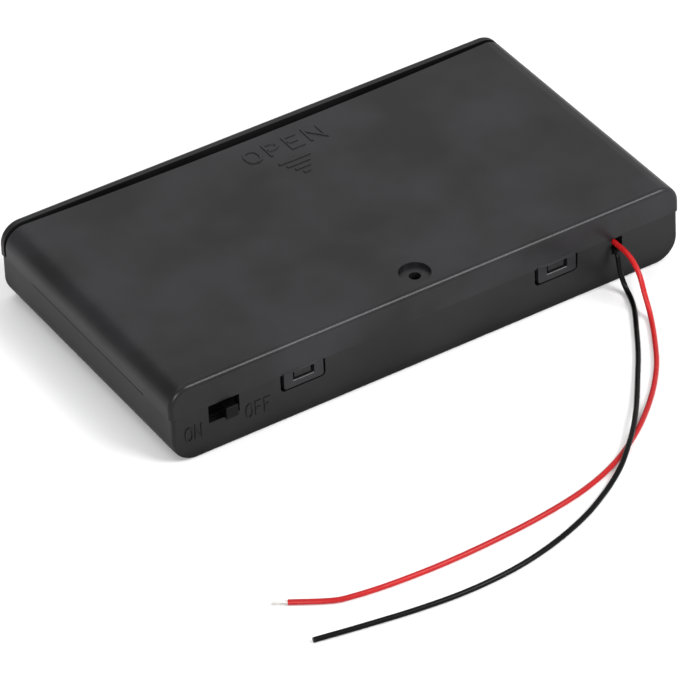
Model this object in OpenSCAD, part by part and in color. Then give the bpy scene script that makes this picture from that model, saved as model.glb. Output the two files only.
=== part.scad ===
// Flat battery case for a row of round cells, with a sliding cover, a slide switch and two leads.
// Lengths are in millimetres. X runs along the row of cells, Y from the front wall to the back wall,
// and Z up. The origin is the centre of the flat base.

/* [Cells] */
// Number of cells side by side
cell_count = 8; // [6:2:10]
// Diameter of one cell
cell_diameter = 14.5; // [14:0.1:16]
// Length of one cell over its button
cell_length = 50.5; // [48:0.5:52]
// Gap between neighbouring cells
cell_gap = 0.95; // [0.8:0.05:1.5]
// Length of a bay beyond the cell, for the contacts and the spring
contact_room = 6.4; // [6:0.1:8]

/* [Case] */
// Thickness of the floor under the cells
floor_thick = 1.8; // [1.4:0.1:2.6]
// Thickness of the side walls
side_wall = 3.2; // [3:0.1:4]
// Thickness of the front wall
front_wall = 1.8; // [1.5:0.1:2.2]
// Depth of the front compartment for the switch and the wires
front_room = 10; // [9.8:0.1:12]
// Thickness of the wall between the front compartment and the bays
partition = 1.4; // [1.2:0.1:2]
// Thickness of the back wall
back_wall = 2.1; // [1.8:0.1:3]
// Height of the parting line between case and cover
seam_height = 12.2; // [12:0.1:12.8]
// Radius of the long upper edges
top_corner = 4.9; // [4.5:0.1:5.2]
// Radius of the long lower edges
base_corner = 5.6; // [4:0.1:6]
// Rounding of the front and back rims
rim_rounding = 0.8; // [0.4:0.1:1]
// Height of the ribs that keep the cells apart
divider_height = 6.2; // [5:0.1:7]
// Distance of the partition's top below the inside of the cover
partition_drop = 2; // [1.8:0.1:2.6]

/* [Cover] */
// Thickness of the cover
cover_wall = 1.6; // [1.4:0.1:1.7]
// Room between the cells and the cover
head_room = 1.7; // [1.6:0.1:3]
// Width that the cover's sides stand out over the case's
cover_overhang = 0.4; // [0.2:0.1:0.6]
// Gap in front of the back wall at the cover's rear corners
rear_gap = 0.9; // [0.5:0.1:1.5]
// Hollow of the cover's rear edge at mid length
rear_bow = 1.5; // [0.5:0.1:2]
// Distance of the catch tabs from the middle
tab_offset = 32.4; // [26:0.1:36]
// Width of a catch tab
tab_width = 9.8; // [8:0.1:12]
// Height of a catch tab's lower edge above the base
tab_foot = 8.4; // [8.2:0.1:9]
// Height of a catch tab's bottom bar
tab_bar = 1.6; // [1:0.1:2]
// Width of a catch tab's window
tab_window = 5.3; // [4:0.1:6]
// Distance that a catch tab stands out of the front face
tab_proud = 0.35; // [0:0.05:0.6]
// Slit round a catch tab
tab_slit = 0.7; // [0.5:0.05:1]

/* [Screw] */
// Distance of the cover screw from the front face
screw_setback = 6; // [5.6:0.1:6.4]
// Diameter of the cover's screw hole
screw_hole = 2.7; // [2.2:0.1:3.2]
// Diameter of the recess for the screw head
head_recess = 7.2; // [6:0.1:8]
// Depth of the recess for the screw head
head_depth = 1; // [0.6:0.1:1.1]
// Diameter of the pilot hole in the screw post
pilot_hole = 2.2; // [1.8:0.1:2.4]
// Depth of the pilot hole
pilot_depth = 9; // [6:0.5:12]
// Diameter of the screw post
screw_post = 5.8; // [5:0.1:6.4]

/* [Switch] */
// Distance of the switch from the left end
switch_place = 13; // [11:0.1:14]
// Width of the switch window
window_width = 7.6; // [7:0.1:9]
// Height of the lower edge of the windows in the front wall
window_sill = 7.7; // [7.2:0.1:7.8]
// Length of the switch housing
housing_length = 13; // [12:0.1:14]
// Height of the switch housing
housing_height = 6.2; // [5.6:0.1:6.4]
// Depth of the switch housing
housing_depth = 5.2; // [5.2:0.1:5.4]
// Wall of the switch housing
housing_wall = 0.7; // [0.5:0.1:0.8]
// Height of the middle of the switch above the base
switch_height = 9.55; // [9.5:0.05:9.6]
// Width and height of the knob
knob_size = 3; // [2.4:0.1:3.2]
// Distance that the knob stands out of the front face
knob_proud = 1.6; // [1:0.1:2.5]
// Travel of the knob between off and on
knob_travel = 2.3; // [1.8:0.1:2.6]
// Spacing of the switch's pins
pin_pitch = 3; // [2.8:0.1:3.2]

/* [Contacts] */
// Thickness of the contact plates
plate_thick = 0.4; // [0.3:0.05:0.5]
// Reach of a contact plate to either side of its bay's middle
plate_reach = 6.3; // [5.5:0.1:6.4]
// Height of a contact plate's foot above the base
plate_foot = 3.5; // [3:0.1:4]
// Distance of a contact plate's top below the partition's top
plate_drop = 0.8; // [0.4:0.1:2]
// Width of the terminals' folds over the partition
terminal_width = 4; // [3:0.1:5]
// Diameter of the raised button on a contact plate
button_diameter = 5.2; // [4:0.1:6]
// Height of the raised button on a contact plate
button_height = 0.7; // [0.5:0.1:1]
// Diameter of the spring wire
spring_wire = 0.7; // [0.5:0.05:0.9]
// Free length of a cell spring
spring_length = 7.5; // [6:0.1:9]
// Diameter of a cell spring at its plate
spring_base = 9.6; // [8:0.1:10]
// Diameter of a cell spring at its free end
spring_tip = 5.6; // [4:0.1:7]
// Number of turns of a cell spring
spring_turns = 4; // [3:0.5:5]

/* [Leads] */
// Diameter of a lead over its insulation
lead_diameter = 1.2; // [1:0.1:1.2]
// Diameter of a lead's bare end
conductor_diameter = 0.75; // [0.5:0.05:0.9]
// Distance of the lead outlet from the right end
outlet_place = 17; // [16:0.1:20]
// Width of the lead outlet
outlet_width = 3.6; // [3.4:0.1:5]

/* [Hidden] */

// Overall size, built up from the cells and the walls round them
bay_pitch = cell_diameter + cell_gap;
case_length = cell_count * bay_pitch + 2 * side_wall;
bay_front = front_wall + front_room + partition;
bay_back = bay_front + cell_length + contact_room;
case_width = bay_back + back_wall;
cell_axis = floor_thick + cell_diameter / 2;
ceiling = floor_thick + cell_diameter + head_room;
case_height = ceiling + cover_wall;
partition_height = ceiling - partition_drop;
plate_top = partition_height - plate_drop;

// Running clearances and small shared sizes
slide_gap = 0.25;
rail_gap = 0.2;
side_seam = 0.25;
front_seam = 0.04;
post_gap = 0.15;
seat_gap = 0.1;
trough_room = 0.3;
plate_gap = 0.15;
knob_gap = 0.15;
pin_fit = 0.02;

// Length that a cutting block runs past a wall, depth that a rib sinks into what it stands on, and
// the two small overlaps that join solids or clear a face
cut = 1;
root = 0.5;
joint_overlap = 0.1;
hair = 0.001;

// Stretch of the sides along which the seam stands open
open_seam_start = 11;
open_seam_end = bay_back - 11.5;

// Guide rails inside the cover's sides, and the wall that carries their groove
rail_start = 11;
rail_end = bay_back - 4;
rail_rise = 1;
rail_height = 1.4;
rail_depth = 0.7;
rail_lip = 0.8;
upstand_face = cover_wall + slide_gap;
upstand_top = seam_height + rail_rise + rail_height + rail_lip;
inner_corner = top_corner - cover_wall;

// Catch blocks that stand in the tabs' windows
block_gap = 0.6;
block_recess = 0.45;
block_back = 1.2;
bevel = 0.3;

// Posts that hold the contact plates against the walls
holder_width = 3.8;
holder_depth = 1.2;
holder_top = 12;

// Switch parts
face_back = front_wall + seat_gap + housing_wall;
housing_front = front_wall + seat_gap;
housing_back = housing_front + housing_depth;
base_thick = 0.8;
base_front = housing_back - base_thick;
shoulder_width = knob_size + 2 * knob_travel + 0.4;
shoulder_height = knob_size + 1.2;
shoulder_front = face_back + seat_gap;
shoulder_depth = 1.2;
pad_size = 1.6;
pad_thick = 0.4;
pin_width = 0.8;
pin_thick = 0.5;
pin_length = 2.3;
clip_thick = 0.3;
clip_height = 2.2;
pad_gap = 0.05;
cradle_width = 1.2;
cradle_inset = 1.5;
cradle_top = 9;
fold_front = bay_front - partition - plate_thick;

// Routes of the free leads. X is measured from the middle of the outlet, Y from the front face and
// Z from the ground, on which they lie. The black lead crosses over the red one.
ring_spacing = 5;
tube_sides = 8;
red_route = [
    [-0.2, 0, 10.8], [-0.2, -1.5, 10.8], [-0.2, -4.5, 10.7], [-0.4, -7.3, 10.1],
    [-0.6, -10, 8.2], [-0.8, -12.1, 4.8], [-1.1, -14.3, 1.8], [-2.2, -16.9, 0.6],
    [-5.2, -22.2, 0.6], [-9.7, -29.3, 0.6], [-15, -35.7, 0.6], [-21, -41.5, 0.6],
    [-27.6, -46.7, 0.6], [-36.7, -52.1, 0.6], [-46.6, -55.6, 0.6], [-58, -57.6, 0.6],
    [-71, -58.6, 0.6], [-84, -58.8, 0.6], [-96, -58.1, 0.6], [-104.4, -56.9, 0.6],
    [-109, -55.5, 0.6], [-116.5, -50.9, 0.6]
];
red_tip_route = [[-116.5, -50.9, 0.6], [-119.4, -49.1, 0.6]];
black_route = [
    [-0.1, 0, 9.3], [-0.1, -0.7, 9.3], [-0.1, -1.8, 8.6], [-0.1, -2.6, 6.6],
    [-0.2, -3.2, 4.2], [-0.3, -4, 2.2], [-0.5, -5.2, 0.9], [-1.1, -6.9, 0.6],
    [-3.1, -11.2, 0.6], [-6.7, -17.6, 0.6], [-11, -24.3, 0.6], [-15.7, -30.8, 0.7],
    [-20.8, -37.7, 1.1], [-24.4, -42.3, 1.7], [-28.2, -46.7, 1.9], [-32.8, -51.2, 1.9],
    [-37, -54.7, 1.3], [-43, -58.4, 0.6], [-51, -62.6, 0.6], [-61, -66.1, 0.6],
    [-72, -68.3, 0.6], [-84, -68.8, 0.6], [-95.4, -67.8, 0.6], [-107, -65.9, 0.6],
    [-118.5, -63.7, 0.6]
];

// Routes of the leads inside the front compartment, in the same way from the outlet and from the
// switch's middle pin or the negative terminal's fold
outlet_x = case_length - outlet_place;
lane = fold_front - lead_diameter / 2 - 0.45;
lane_height = partition_height - 1.2;
pin_top = switch_height + pin_thick / 2;
pin_stand = housing_back + pin_length / 2;
red_inside_route = [
    [switch_place, pin_stand, pin_top], [switch_place, pin_stand, pin_top + 1.5],
    [switch_place + 0.6, pin_stand + 0.1, lane_height - 1.6],
    [switch_place + 2.6, (pin_stand + lane) / 2 - 0.5, lane_height - 0.3],
    [switch_place + 8, lane - 0.5, lane_height], [switch_place + 20, lane, lane_height],
    [case_length / 2, lane, lane_height], [outlet_x - 13, lane, lane_height],
    [outlet_x - 5.5, lane - 0.7, lane_height - 0.7], [outlet_x - 1.8, lane - 2.5, lane_height - 1.9],
    [outlet_x - 0.4, 5.4, 11.5], [outlet_x - 0.2, 3, 10.9], [outlet_x - 0.2, 1.4, 10.8],
    [outlet_x - 0.2, 0, 10.8]
];
last_bay = bay_middle(cell_count);
black_inside_route = [
    [last_bay, fold_front, 10.6], [last_bay, fold_front - 1, 10.6], [last_bay - 0.6, 8.4, 10.6],
    [last_bay - 2.6, 6.2, 10.3], [outlet_x + 1.4, 4.2, 9.7], [outlet_x + 0.1, 2.5, 9.3],
    [outlet_x - 0.1, 1.3, 9.3], [outlet_x - 0.1, 0, 9.3]
];

// Middle of a bay along X, from the left end
function bay_middle(bay) = side_wall + (bay - 0.5) * bay_pitch;

// Odd bays hold their cell with its button to the front, even bays with its button to the back
function is_odd(bay) = bay % 2 == 1;

function unit(v) = v / norm(v);

// Point of a smooth curve between b and c, with a and d as their outer neighbours
function curve_point(a, b, c, d, t) =
    0.5 * (2 * b + (c - a) * t + (2 * a - 5 * b + 4 * c - d) * t * t
        + (3 * b - a - 3 * c + d) * t * t * t);

// Rings between one route point and the next
function ring_count(route, i) = max(1, round(norm(route[i + 1] - route[i]) / ring_spacing));

// Point held up so that a lead's middle stays its own radius above the ground
function on_ground(p) = [p[0], p[1], max(p[2], lead_diameter / 2)];

// Centres of a tube's rings along a route
function ring_centres(route) = concat(
    [for (i = [0:len(route) - 2], k = [0:ring_count(route, i) - 1])
        on_ground(curve_point(route[max(i - 1, 0)], route[i], route[i + 1],
            route[min(i + 2, len(route) - 1)], k / ring_count(route, i)))],
    [route[len(route) - 1]]
);

// Direction of a tube at each of its rings
function directions(centres) = [for (i = [0:len(centres) - 1])
    unit(i == 0 ? centres[1] - centres[0]
        : i == len(centres) - 1 ? centres[i] - centres[i - 1]
        : unit(centres[i + 1] - centres[i]) + unit(centres[i] - centres[i - 1]))];

// Part of a vector that is square to a direction, at length 1
function squared(v, direction) = unit(v - (v * direction) * direction);

// Side vector at each ring, carried along the tube without twist
function sides(ways, first) = [for (
    i = 0, side = squared(first, ways[0]);
    i < len(ways);
    i = i + 1, side = i < len(ways) ? squared(side, ways[i]) : side
) side];

// Closed tube round the given ring centres
module tube(centres, diameter, corners, first) {
    ways = directions(centres);
    across = sides(ways, first);
    last = len(centres) - 1;
    points = [for (i = [0:last], k = [0:corners - 1])
        centres[i] + diameter / 2 * (cos(360 * k / corners) * across[i]
            + sin(360 * k / corners) * cross(ways[i], across[i]))];
    walls = [for (i = [0:last - 1], k = [0:corners - 1]) let (next = (k + 1) % corners)
        [(i + 1) * corners + k, (i + 1) * corners + next, i * corners + next, i * corners + k]];
    start_cap = [for (k = [0:corners - 1]) k];
    end_cap = [for (k = [corners - 1:-1:0]) last * corners + k];
    polyhedron(points, concat([start_cap], walls, [end_cap]));
}

// Moves what is measured from the left end and the front face into the part's frame
module from_corner() {
    translate([-case_length / 2, -case_width / 2, 0]) children();
}

// Box between two opposite corners
module block(low, high) {
    translate(low) cube(high - low);
}

// Outline extruded along X, with its points given as [y, z]
module prism_x(outline, from, to) {
    translate([from, 0, 0]) rotate([90, 0, 90]) linear_extrude(to - from) polygon(outline);
}

// Outer form of the closed case, with its sides drawn in by the given amount
module envelope(inset) {
    corners = [
        [inset + base_corner, base_corner, base_corner],
        [case_length - inset - base_corner, base_corner, base_corner],
        [inset + top_corner, case_height - top_corner, top_corner],
        [case_length - inset - top_corner, case_height - top_corner, top_corner]
    ];
    hull()
        for (corner = corners, turn = [0, 30, 60, 90]) {
            drop = rim_rounding * (1 - sin(turn));
            setback = rim_rounding * (1 - cos(turn));
            translate([corner[0], setback, corner[1]]) rotate([-90, 0, 0])
                cylinder(r = corner[2] - drop, h = case_width - 2 * setback, $fn = 32);
        }
}

// Places a child at both catch tabs
module at_tabs() {
    for (side = [-1, 1])
        translate([case_length / 2 + side * tab_offset, 0, 0]) children();
}

// Copies a left-end child to the right end too
module both_ends() {
    children();
    translate([case_length, 0, 0]) mirror([1, 0, 0]) children();
}

// Outer walls of the lower case: a shell up to the parting line and a full back wall
module case_walls() {
    intersection() {
        envelope(cover_overhang);
        block([-cut, -cut, -cut], [case_length + cut, case_width + cut, seam_height]);
    }
    intersection() {
        envelope(0);
        block([-cut, bay_back, seam_height - joint_overlap],
            [case_length + cut, case_width + cut, case_height + cut]);
    }
}

// Hollow of the cell bays: one round trough for each cell, open above the dividers
module bay_hollow() {
    trough = (cell_diameter + trough_room) / 2;
    for (bay = [1:cell_count])
        translate([bay_middle(bay), bay_front, floor_thick + trough]) rotate([-90, 0, 0])
            cylinder(r = trough, h = bay_back - bay_front, $fn = 72);
    block([side_wall, bay_front, divider_height], [case_length - side_wall, bay_back, case_height + cut]);
}

// Wall strip with a guide groove that stands inside the cover's side
module side_upstand() {
    groove_foot = seam_height + rail_rise;
    difference() {
        block([upstand_face, cover_wall + slide_gap, seam_height - cut],
            [side_wall, bay_back + root, upstand_top]);
        block([upstand_face - cut, 0, groove_foot],
            [upstand_face + rail_depth, rail_end + slide_gap, groove_foot + rail_height]);
    }
}

// Posts at the bay borders that hold the contact plates against both end walls
module plate_holders() {
    reach = plate_thick + plate_gap + holder_depth;
    intersection() {
        for (border = [0:cell_count], low = [bay_front - root, bay_back - reach]) {
            middle = side_wall + border * bay_pitch;
            block([middle - holder_width / 2, low, floor_thick],
                [middle + holder_width / 2, low + reach + root, holder_top]);
        }
        block([side_wall - root, 0, 0],
            [case_length - side_wall + root, bay_back + root, case_height]);
    }
}

// Slot in the holders for a contact plate that spans the given bays
module plate_slot(first, last, at_back) {
    room = plate_thick + plate_gap;
    low = at_back ? bay_back - room : bay_front;
    block([bay_middle(first) - plate_reach - plate_gap, low, plate_foot],
        [bay_middle(last) + plate_reach + plate_gap, low + room, case_height]);
}

// Post for the cover screw, braced to the front wall and the partition
module screw_pillar() {
    post_top = ceiling - post_gap;
    brace = 0.6;
    translate([case_length / 2, screw_setback, floor_thick - root])
        cylinder(d = screw_post, h = post_top - floor_thick + root, $fn = 48);
    block([case_length / 2 - brace, front_wall - root, floor_thick - root],
        [case_length / 2 + brace, bay_front - partition + root, holder_top]);
}

// Block that stands in a catch tab's window, on the plate that closes the notch behind the tab
module catch_block() {
    half = tab_window / 2 - block_gap;
    notch_half = tab_width / 2 + tab_slit + 1;
    face = block_recess - tab_proud;
    foot = tab_foot + tab_bar + block_gap;
    prism_x([[face, foot], [front_wall + root, foot], [front_wall + root, seam_height],
        [face + bevel, seam_height], [face, seam_height - bevel]], -half, half);
    block([-notch_half, front_wall, floor_thick - root],
        [notch_half, front_wall + block_back, seam_height]);
}

// Two ribs that carry the switch housing and stop it from behind
module switch_cradle() {
    foot = switch_height - housing_height / 2;
    reach = housing_length / 2 - cradle_inset;
    stop = housing_back + seat_gap;
    for (side = [-1, 1])
        translate([switch_place + side * reach - cradle_width / 2, 0, 0])
            prism_x([[front_wall - root, floor_thick - root], [stop + cradle_width, floor_thick - root],
                [stop + cradle_width, cradle_top], [stop, cradle_top],
                [stop, foot], [front_wall - root, foot]], 0, cradle_width);
}

module lower_case() {
    color([0.13, 0.13, 0.14]) from_corner()
        difference() {
            union() {
                difference() {
                    case_walls();
                    bay_hollow();
                    block([side_wall, front_wall, floor_thick],
                        [case_length - side_wall, bay_front - partition, case_height + cut]);
                    block([side_wall, bay_front - partition - cut, partition_height],
                        [case_length - side_wall, bay_back, case_height + cut]);
                    at_tabs() block([-tab_width / 2 - tab_slit, -cut, tab_foot - tab_slit],
                        [tab_width / 2 + tab_slit, front_wall + hair, seam_height + cut]);
                }
                block([side_wall - root, bay_front - partition, seam_height - cut],
                    [case_length - side_wall + root, bay_front, partition_height]);
                both_ends() side_upstand();
                plate_holders();
                screw_pillar();
                at_tabs() catch_block();
                switch_cradle();
            }
            plate_slot(1, 1, false);
            plate_slot(cell_count, cell_count, false);
            for (bay = [2:2:cell_count - 2])
                plate_slot(bay, bay + 1, false);
            for (bay = [1:2:cell_count - 1])
                plate_slot(bay, bay + 1, true);
            translate([case_length / 2, screw_setback, ceiling - post_gap - pilot_depth])
                cylinder(d = pilot_hole, h = pilot_depth + cut, $fn = 36);
            block([switch_place - window_width / 2, -cut, window_sill],
                [switch_place + window_width / 2, front_wall + hair, seam_height + cut]);
            block([outlet_x - outlet_width / 2, -cut, window_sill],
                [outlet_x + outlet_width / 2, front_wall + hair, seam_height + cut]);
        }
}

// Hollow inside the cover, open to the back
module cover_hollow() {
    corner_height = ceiling - inner_corner;
    translate([0, case_width + cut, 0]) rotate([90, 0, 0]) linear_extrude(case_width + cut - cover_wall) {
        translate([cover_wall, -cut]) square([case_length - 2 * cover_wall, corner_height + cut]);
        translate([top_corner, 0]) square([case_length - 2 * top_corner, ceiling]);
        translate([top_corner, corner_height]) circle(inner_corner, $fn = 48);
        translate([case_length - top_corner, corner_height]) circle(inner_corner, $fn = 48);
    }
}

// Catch tab that hangs from the cover's front edge, with its window
module catch_tab() {
    shoulder = seam_height + front_seam;
    blend = 1;
    difference() {
        prism_x([[bevel - tab_proud, tab_foot], [cover_wall - tab_proud, tab_foot],
            [cover_wall, shoulder + blend], [bevel, shoulder + blend],
            [-tab_proud, shoulder], [-tab_proud, tab_foot + bevel]], -tab_width / 2, tab_width / 2);
        block([-tab_window / 2, -tab_proud - cut, tab_foot + tab_bar],
            [tab_window / 2, cover_wall + cut, shoulder]);
    }
}

// Ridge inside the cover's side that runs in the case's guide groove
module cover_rail() {
    foot = seam_height + rail_rise + rail_gap;
    block([cover_wall - root, rail_start, foot],
        [upstand_face + rail_depth - rail_gap, rail_end, foot + rail_height - 2 * rail_gap]);
}

module sliding_cover() {
    bow_radius = pow(case_length / 2, 2) / (2 * rear_bow) + rear_bow / 2;
    rear_edge = bay_back - rear_gap - rear_bow;
    color([0.15, 0.15, 0.16]) from_corner()
        difference() {
            union() {
                difference() {
                    envelope(0);
                    block([-cut, -cut, -cut],
                        [case_length + cut, case_width + cut, seam_height + front_seam]);
                    block([-cut, open_seam_start, 0],
                        [case_length + cut, open_seam_end, seam_height + side_seam]);
                    cover_hollow();
                    translate([case_length / 2, rear_edge + bow_radius, seam_height])
                        cylinder(r = bow_radius, h = case_height, $fn = 720);
                }
                both_ends() cover_rail();
                at_tabs() catch_tab();
            }
            translate([case_length / 2, screw_setback, ceiling - cut])
                cylinder(d = screw_hole, h = cover_wall + 2 * cut, $fn = 36);
            translate([case_length / 2, screw_setback, case_height - head_depth])
                cylinder(d = head_recess, h = head_depth + cut, $fn = 60);
        }
}

// Moves the switch's parts to its middle, with Y still measured from the front face
module at_switch(shift = 0) {
    from_corner() translate([switch_place + shift, 0, switch_height]) children();
}

module switch_housing() {
    half_length = housing_length / 2;
    half_height = housing_height / 2;
    slot_half = (knob_size + knob_travel) / 2 + knob_gap;
    slot_rise = knob_size / 2 + knob_gap;
    color([0.09, 0.09, 0.1]) at_switch()
        difference() {
            block([-half_length, housing_front, -half_height], [half_length, housing_back, half_height]);
            block([-half_length + housing_wall, face_back, -half_height + housing_wall],
                [half_length - housing_wall, housing_back + cut, half_height - housing_wall]);
            block([-slot_half, housing_front - cut, -slot_rise], [slot_half, face_back + cut, slot_rise]);
        }
}

module switch_base() {
    fit = 0.05;
    half_length = housing_length / 2 - housing_wall - fit;
    half_height = housing_height / 2 - housing_wall - fit;
    color([0.42, 0.27, 0.14]) at_switch()
        difference() {
            block([-half_length, base_front, -half_height], [half_length, housing_back, half_height]);
            for (place = [-1:1])
                translate([place * pin_pitch, 0, 0])
                    block([-pin_width / 2 - pin_fit, base_front - cut, -pin_thick / 2 - pin_fit],
                        [pin_width / 2 + pin_fit, housing_back + cut, pin_thick / 2 + pin_fit]);
        }
}

module switch_knob() {
    half = knob_size / 2;
    color([0.1, 0.1, 0.11]) at_switch(knob_travel / 2) {
        block([-half, -knob_proud, -half], [half, shoulder_front + joint_overlap, half]);
        block([-shoulder_width / 2, shoulder_front, -shoulder_height / 2],
            [shoulder_width / 2, shoulder_front + shoulder_depth, shoulder_height / 2]);
    }
}

// Brass bridge behind the knob, with a leg to each of the two pads that it joins
module switch_contact() {
    back = shoulder_front + shoulder_depth;
    half = (pin_pitch + clip_thick) / 2;
    color([0.8, 0.65, 0.3]) at_switch(knob_travel / 2) {
        block([-half, back, -clip_height / 2], [half, back + clip_thick, clip_height / 2]);
        for (side = [-1, 1])
            block([side * pin_pitch / 2 - clip_thick / 2, back, -clip_height / 2],
                [side * pin_pitch / 2 + clip_thick / 2, base_front - pad_thick - pad_gap, clip_height / 2]);
    }
}

// Pin of the switch: a pad in front of the base and a shank through it
module switch_pin(place, tip) {
    color([0.75, 0.75, 0.72]) at_switch(place * pin_pitch) {
        block([-pad_size / 2, base_front - pad_thick, -pad_size / 2],
            [pad_size / 2, base_front, pad_size / 2]);
        block([-pin_width / 2, base_front - joint_overlap, -pin_thick / 2],
            [pin_width / 2, tip, pin_thick / 2]);
    }
}

// Raised button of a contact plate, on the front wall of a bay or on its back wall
module plate_button(bay, at_back) {
    foot = at_back ? bay_back - plate_thick : bay_front + plate_thick;
    translate([bay_middle(bay), foot, cell_axis]) rotate([at_back ? 90 : -90, 0, 0])
        translate([0, 0, -joint_overlap]) cylinder(d1 = button_diameter, d2 = button_diameter - 1,
            h = button_height + joint_overlap, $fn = 36);
}

// Flat contact plate across the given bays
module contact_plate(first, last, at_back) {
    low = at_back ? bay_back - plate_thick : bay_front;
    block([bay_middle(first) - plate_reach, low, plate_foot],
        [bay_middle(last) + plate_reach, low + plate_thick, plate_top]);
}

// Neck of an end plate that folds over the partition and hangs down in the front compartment
module terminal_fold(bay) {
    left = bay_middle(bay) - terminal_width / 2;
    right = bay_middle(bay) + terminal_width / 2;
    crest = partition_height + plate_thick;
    block([left, bay_front, plate_top - joint_overlap], [right, bay_front + plate_thick, crest]);
    block([left, fold_front, partition_height], [right, bay_front + plate_thick, crest]);
    block([left, fold_front, switch_height - 1.5], [right, fold_front + plate_thick, crest]);
}

module positive_terminal() {
    color([0.8, 0.8, 0.78]) from_corner() {
        contact_plate(1, 1, false);
        plate_button(1, false);
        terminal_fold(1);
    }
}

module negative_terminal() {
    color([0.8, 0.8, 0.78]) from_corner() {
        contact_plate(cell_count, cell_count, false);
        terminal_fold(cell_count);
    }
}

// Plate that joins the cells of two neighbouring bays at their front ends
module front_bridge(number) {
    color([0.8, 0.8, 0.78]) from_corner() {
        contact_plate(2 * number, 2 * number + 1, false);
        plate_button(2 * number + 1, false);
    }
}

// Plate that joins the cells of two neighbouring bays at their back ends
module back_bridge(number) {
    color([0.8, 0.8, 0.78]) from_corner() {
        contact_plate(2 * number - 1, 2 * number, true);
        plate_button(2 * number, true);
    }
}

// Tapered coil that presses on the flat end of a cell
module cell_spring(bay) {
    steps = 11;
    last = spring_turns * steps;
    rise = spring_length - spring_wire;
    centres = [for (i = [0:last]) let (
        share = i / last,
        radius = (spring_base + (spring_tip - spring_base) * share - spring_wire) / 2
    ) [radius * cos(360 * i / steps), radius * sin(360 * i / steps), spring_wire / 2 + rise * share]];
    at_back = is_odd(bay);
    foot = at_back ? bay_back - plate_thick : bay_front + plate_thick;
    color([0.78, 0.78, 0.76]) from_corner()
        translate([bay_middle(bay), foot, cell_axis]) rotate([at_back ? 90 : -90, 0, 0])
            tube(centres, spring_wire, 6, [1, 0, 0]);
}

// Stretch of a lead that lies free outside the case
module free_lead(route, diameter) {
    translate([outlet_x - case_length / 2, -case_width / 2, 0])
        tube(ring_centres(route), diameter, tube_sides, [1, 0, 0]);
}

module red_lead() {
    color([0.85, 0.12, 0.12]) free_lead(red_route, lead_diameter);
}

module red_lead_conductor() {
    color([0.8, 0.8, 0.82]) free_lead(red_tip_route, conductor_diameter);
}

module black_lead() {
    color([0.1, 0.1, 0.1]) free_lead(black_route, lead_diameter);
}

module red_lead_inside() {
    color([0.85, 0.12, 0.12]) from_corner()
        tube(ring_centres(red_inside_route), lead_diameter, tube_sides, [1, 0, 0]);
}

module black_lead_inside() {
    color([0.1, 0.1, 0.1]) from_corner()
        tube(ring_centres(black_inside_route), lead_diameter, tube_sides, [1, 0, 0]);
}

lower_case();
sliding_cover();
switch_housing();
switch_base();
switch_knob();
switch_contact();
switch_pin(-1, fold_front);  // switch_pin_1
switch_pin(0, housing_back + pin_length);  // switch_pin_2
switch_pin(1, housing_back + pin_length);  // switch_pin_3
positive_terminal();
negative_terminal();
for (number = [1:cell_count / 2 - 1])
    front_bridge(number);
for (number = [1:cell_count / 2])
    back_bridge(number);
for (bay = [1:cell_count])
    cell_spring(bay);
red_lead();
red_lead_inside();
red_lead_conductor();
black_lead();
black_lead_inside();
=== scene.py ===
import math

import bmesh
import bpy
from mathutils import Matrix, Vector


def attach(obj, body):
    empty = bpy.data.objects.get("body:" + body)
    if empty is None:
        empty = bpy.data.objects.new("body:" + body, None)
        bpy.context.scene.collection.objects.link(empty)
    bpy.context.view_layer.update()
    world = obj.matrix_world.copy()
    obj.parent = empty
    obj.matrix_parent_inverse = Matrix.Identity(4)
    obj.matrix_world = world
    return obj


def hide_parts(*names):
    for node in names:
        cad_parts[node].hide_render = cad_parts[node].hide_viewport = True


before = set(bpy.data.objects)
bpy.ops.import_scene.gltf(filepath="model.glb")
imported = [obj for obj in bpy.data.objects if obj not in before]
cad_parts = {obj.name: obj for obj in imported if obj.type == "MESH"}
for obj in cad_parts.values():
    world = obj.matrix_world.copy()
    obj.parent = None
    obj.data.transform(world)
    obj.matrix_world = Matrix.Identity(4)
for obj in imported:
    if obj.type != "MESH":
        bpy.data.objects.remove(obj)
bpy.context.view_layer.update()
print("frame loaded with", len(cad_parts), "CAD nodes")

# The closed case. Sizes of pieces are millimetres from the left end, the front face and the base;
# the free leads and the stage are metres in the frame.
caseSize = {
    "length": 130.0, "width": 72.2, "height": 19.6,
    "seam": 12.2,            # height of the parting line
    "topCorner": 4.9, "baseCorner": 5.6, "cornerSteps": 14,
    "rim": 1.1, "rimSteps": 7,
    "baseShare": 0.5,        # part of the rim's rounding that the lower edges have
    "floor": 1.8, "sideWall": 3.2, "frontWall": 1.8,
    "overhang": 0.4,         # the cover's sides stand out this far over the case's
    "bayFront": 13.2, "bayBack": 70.1, "pitch": 15.45, "bays": 8,
    "cellAxis": 9.05,        # height of the cells' axes
    "plate": 0.4,            # thickness of the contact plates
    "ceiling": 18.0,         # inside of the cover
    "openStart": 11.0, "openEnd": 58.6,    # stretch of the sides with a shadow line
    "crispDepth": 1.0, "crispReach": 0.1,  # how near the front parting line edges stay crisp
}
# Cuts run this far past the case, unions this far into each other, and walls are cut through by a hair
far, bite, hair = 10, 0.5, 0.001


# Meshes are built in millimetres and then brought into the frame
def toFrame(mesh):
    shift = Matrix.Translation((-caseSize["length"] / 2, -caseSize["width"] / 2, 0))
    mesh.transform(Matrix.Scale(0.001, 4) @ shift)


def pieceFrom(name, vertices, faces):
    mesh = bpy.data.meshes.new(name)
    mesh.from_pydata([tuple(v) for v in vertices], [], faces)
    work = bmesh.new()
    work.from_mesh(mesh)
    bmesh.ops.recalc_face_normals(work, faces=work.faces)
    work.to_mesh(mesh)
    work.free()
    piece = bpy.data.objects.new(name, mesh)
    bpy.context.collection.objects.link(piece)
    return piece


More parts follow.
